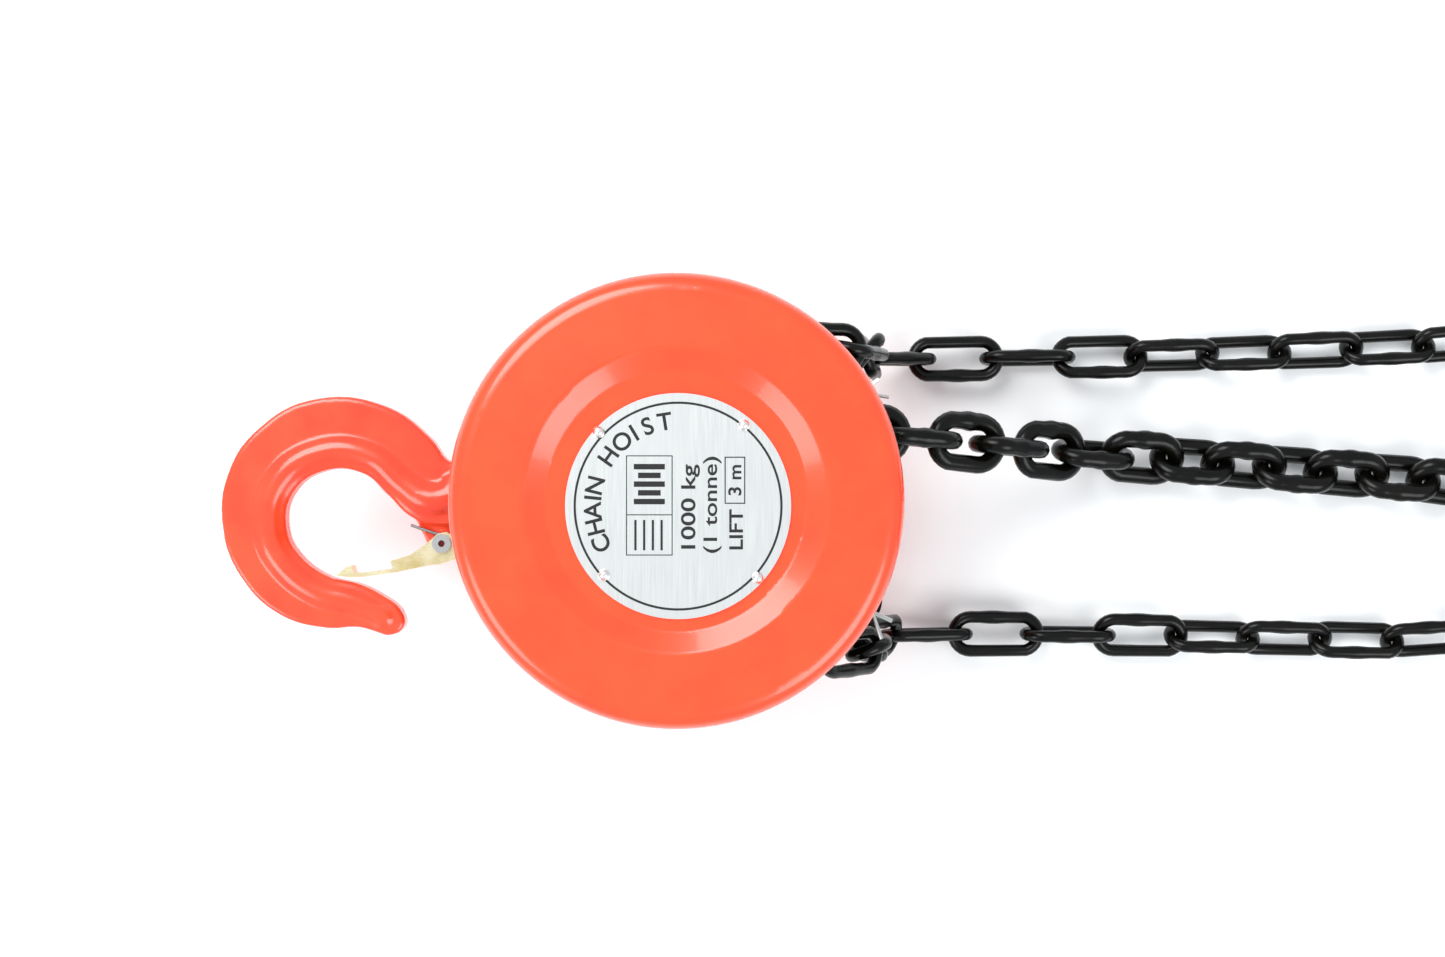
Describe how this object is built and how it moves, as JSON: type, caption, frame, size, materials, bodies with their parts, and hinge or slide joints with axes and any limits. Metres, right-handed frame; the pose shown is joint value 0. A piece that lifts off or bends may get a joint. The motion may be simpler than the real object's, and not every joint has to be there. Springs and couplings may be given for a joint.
{
  "type": "hand chain hoist",
  "caption": "Hand chain hoist lying on its gear side: round stamped cover, swivelling top hook with safety latch, load chain with bottom hook block, and endless hand chain.",
  "frame": {"origin": "where the drive shaft's axis meets the flat face of the gear cover, on the surface that the hoist lies on", "axes": "+Z along the drive shaft from the gear cover to the hand-wheel cover, +X from the top hook towards the chains"},
  "size_m": [1.049, 0.1616, 0.12],
  "materials": {
    "cover_paint": "gloss",
    "hook_paint": "gloss",
    "frame_zinc": "satin",
    "bright_steel": "satin",
    "nameplate_aluminium": "satin",
    "rivet_aluminium": "polished",
    "bearing_steel": "polished",
    "black_coating": "gloss",
    "cast_steel": "matte",
    "machined_steel": "satin",
    "spring_steel": "satin",
    "bronze": "satin",
    "friction_lining": "matte",
    "latch_zinc": "satin",
    "chain_bulk": "gloss",
    "tie_strap": "matte"
  },
  "bodies": {
    "frame": {"gear_side_plate": "frame_zinc", "wheel_side_plate": "frame_zinc", "stay_bolts": "bright_steel", "stay_nuts": "bright_steel", "gear_cover": "cover_paint", "hand_wheel_cover": "cover_paint", "cover_screws": "bright_steel", "cover_weld_nuts": "bright_steel", "nameplate": "nameplate_aluminium", "nameplate_rivets": "rivet_aluminium", "bearing_rings": "bearing_steel", "hand_chain_guides": "black_coating", "clevis_pins": "bright_steel", "split_pins": "bright_steel", "chain_stripper": "cast_steel", "pawl_pins": "bright_steel", "pawl_springs": "spring_steel", "roller_pins": "bright_steel", "gear_bushes": "bronze", "ratchet_wheel": "machined_steel", "friction_discs": "friction_lining", "load_chain_wrap": "black_coating", "load_chain_strand": "chain_bulk", "load_chain_hank": "chain_bulk", "hand_chain_wrap": "black_coating", "hand_chain_strand_a": "chain_bulk", "hand_chain_strand_b": "chain_bulk", "hand_chain_hank": "chain_bulk", "hank_ties": "tie_strap", "block_halves": "hook_paint", "block_bolts": "bright_steel", "load_chain_end": "black_coating", "block_chain_pin": "bright_steel"},
    "drive": {"drive_shaft": "machined_steel", "brake_hub": "machined_steel", "hand_wheel": "cast_steel", "castle_nut": "bright_steel", "shaft_split_pin": "bright_steel"},
    "sheave": {"load_sheave": "cast_steel", "load_gear": "machined_steel", "load_gear_circlip": "spring_steel"},
    "gear_side_rollers": {"rollers_gear_side": "bearing_steel"},
    "wheel_side_rollers": {"rollers_wheel_side": "bearing_steel"},
    "disc_a": {"disc_gear_a": "machined_steel"},
    "disc_b": {"disc_gear_b": "machined_steel"},
    "guide_a": {"guide_roller_a": "machined_steel"},
    "guide_b": {"guide_roller_b": "machined_steel"},
    "first_pawl": {"pawl_a": "machined_steel"},
    "second_pawl": {"pawl_b": "machined_steel"},
    "crossbeam": {"top_crossbeam": "cast_steel"},
    "hook_top": {"top_hook": "hook_paint", "top_hook_nut": "bright_steel", "top_latch_rivet": "bright_steel", "top_latch_spring": "spring_steel"},
    "latch_top": {"top_latch": "latch_zinc"},
    "hook_bottom": {"bottom_hook": "hook_paint", "bottom_hook_nut": "bright_steel", "bottom_latch_rivet": "bright_steel", "bottom_latch_spring": "spring_steel"},
    "latch_bottom": {"bottom_latch": "latch_zinc"}
  },
  "joints": [
    {"name": "drive_turn", "type": "hinge", "parent": "frame", "child": "drive", "pos_m": [0, 0, 0.1], "axis": [0, 0, 1], "continuous": true, "deforming": ["hand_chain_wrap"]},
    {"name": "sheave_turn", "type": "hinge", "parent": "frame", "child": "sheave", "pos_m": [0, 0, 0.0525], "axis": [0, 0, 1], "continuous": true, "deforming": ["load_chain_wrap"]},
    {"name": "disc_a_turn", "type": "hinge", "parent": "frame", "child": "disc_a", "pos_m": [0, 0.036, 0.015], "axis": [0, 0, 1], "continuous": true},
    {"name": "disc_b_turn", "type": "hinge", "parent": "frame", "child": "disc_b", "pos_m": [0, -0.036, 0.015], "axis": [0, 0, 1], "continuous": true},
    {"name": "gear_side_rollers_turn", "type": "hinge", "parent": "frame", "child": "gear_side_rollers", "pos_m": [0, 0, 0.03], "axis": [0, 0, 1], "continuous": true},
    {"name": "wheel_side_rollers_turn", "type": "hinge", "parent": "frame", "child": "wheel_side_rollers", "pos_m": [0, 0, 0.0745], "axis": [0, 0, 1], "continuous": true},
    {"name": "guide_a_turn", "type": "hinge", "parent": "frame", "child": "guide_a", "pos_m": [0.038, 0.041, 0.0525], "axis": [0, 0, 1], "continuous": true},
    {"name": "guide_b_turn", "type": "hinge", "parent": "frame", "child": "guide_b", "pos_m": [0.038, -0.041, 0.0525], "axis": [0, 0, 1], "continuous": true},
    {"name": "first_pawl_lift", "type": "hinge", "parent": "frame", "child": "first_pawl", "pos_m": [-0.00799, 0.0453, 0.088], "axis": [0, 0, 1], "range_deg": [0, 16]},
    {"name": "second_pawl_lift", "type": "hinge", "parent": "frame", "child": "second_pawl", "pos_m": [0.00799, -0.0453, 0.088], "axis": [0, 0, 1], "range_deg": [0, 16]},
    {"name": "crossbeam_swing", "type": "hinge", "parent": "frame", "child": "crossbeam", "pos_m": [-0.05, 0.0084, 0.0525], "axis": [0, 0, 1], "range_deg": [-44, 16]},
    {"name": "top_hook_swivel", "type": "hinge", "parent": "crossbeam", "child": "hook_top", "pos_m": [-0.05, 0.0084, 0.0525], "axis": [-0.9711, -0.2385, 0], "continuous": true},
    {"name": "top_latch_open", "type": "hinge", "parent": "hook_top", "child": "latch_top", "pos_m": [-0.07825, -0.0145, 0.0525], "axis": [0, 0, 1], "range_deg": [-30, 0]},
    {"name": "bottom_hook_swivel", "type": "hinge", "parent": "frame", "child": "hook_bottom", "pos_m": [0.7893, -0.044, 0.018], "axis": [1, 0, 0], "continuous": true},
    {"name": "bottom_latch_open", "type": "hinge", "parent": "hook_bottom", "child": "latch_bottom", "pos_m": [0.8222, -0.0285, 0.018], "axis": [0, 0, 1], "range_deg": [-30, 0]}
  ],
  "couplings": [
    {"joint": "sheave_turn", "follows": "drive_turn", "ratio": 0.0625},
    {"joint": "disc_a_turn", "follows": "drive_turn", "ratio": -0.25},
    {"joint": "disc_b_turn", "follows": "drive_turn", "ratio": -0.25},
    {"joint": "gear_side_rollers_turn", "follows": "drive_turn", "ratio": 0.027276},
    {"joint": "wheel_side_rollers_turn", "follows": "drive_turn", "ratio": 0.027276}
  ]
}
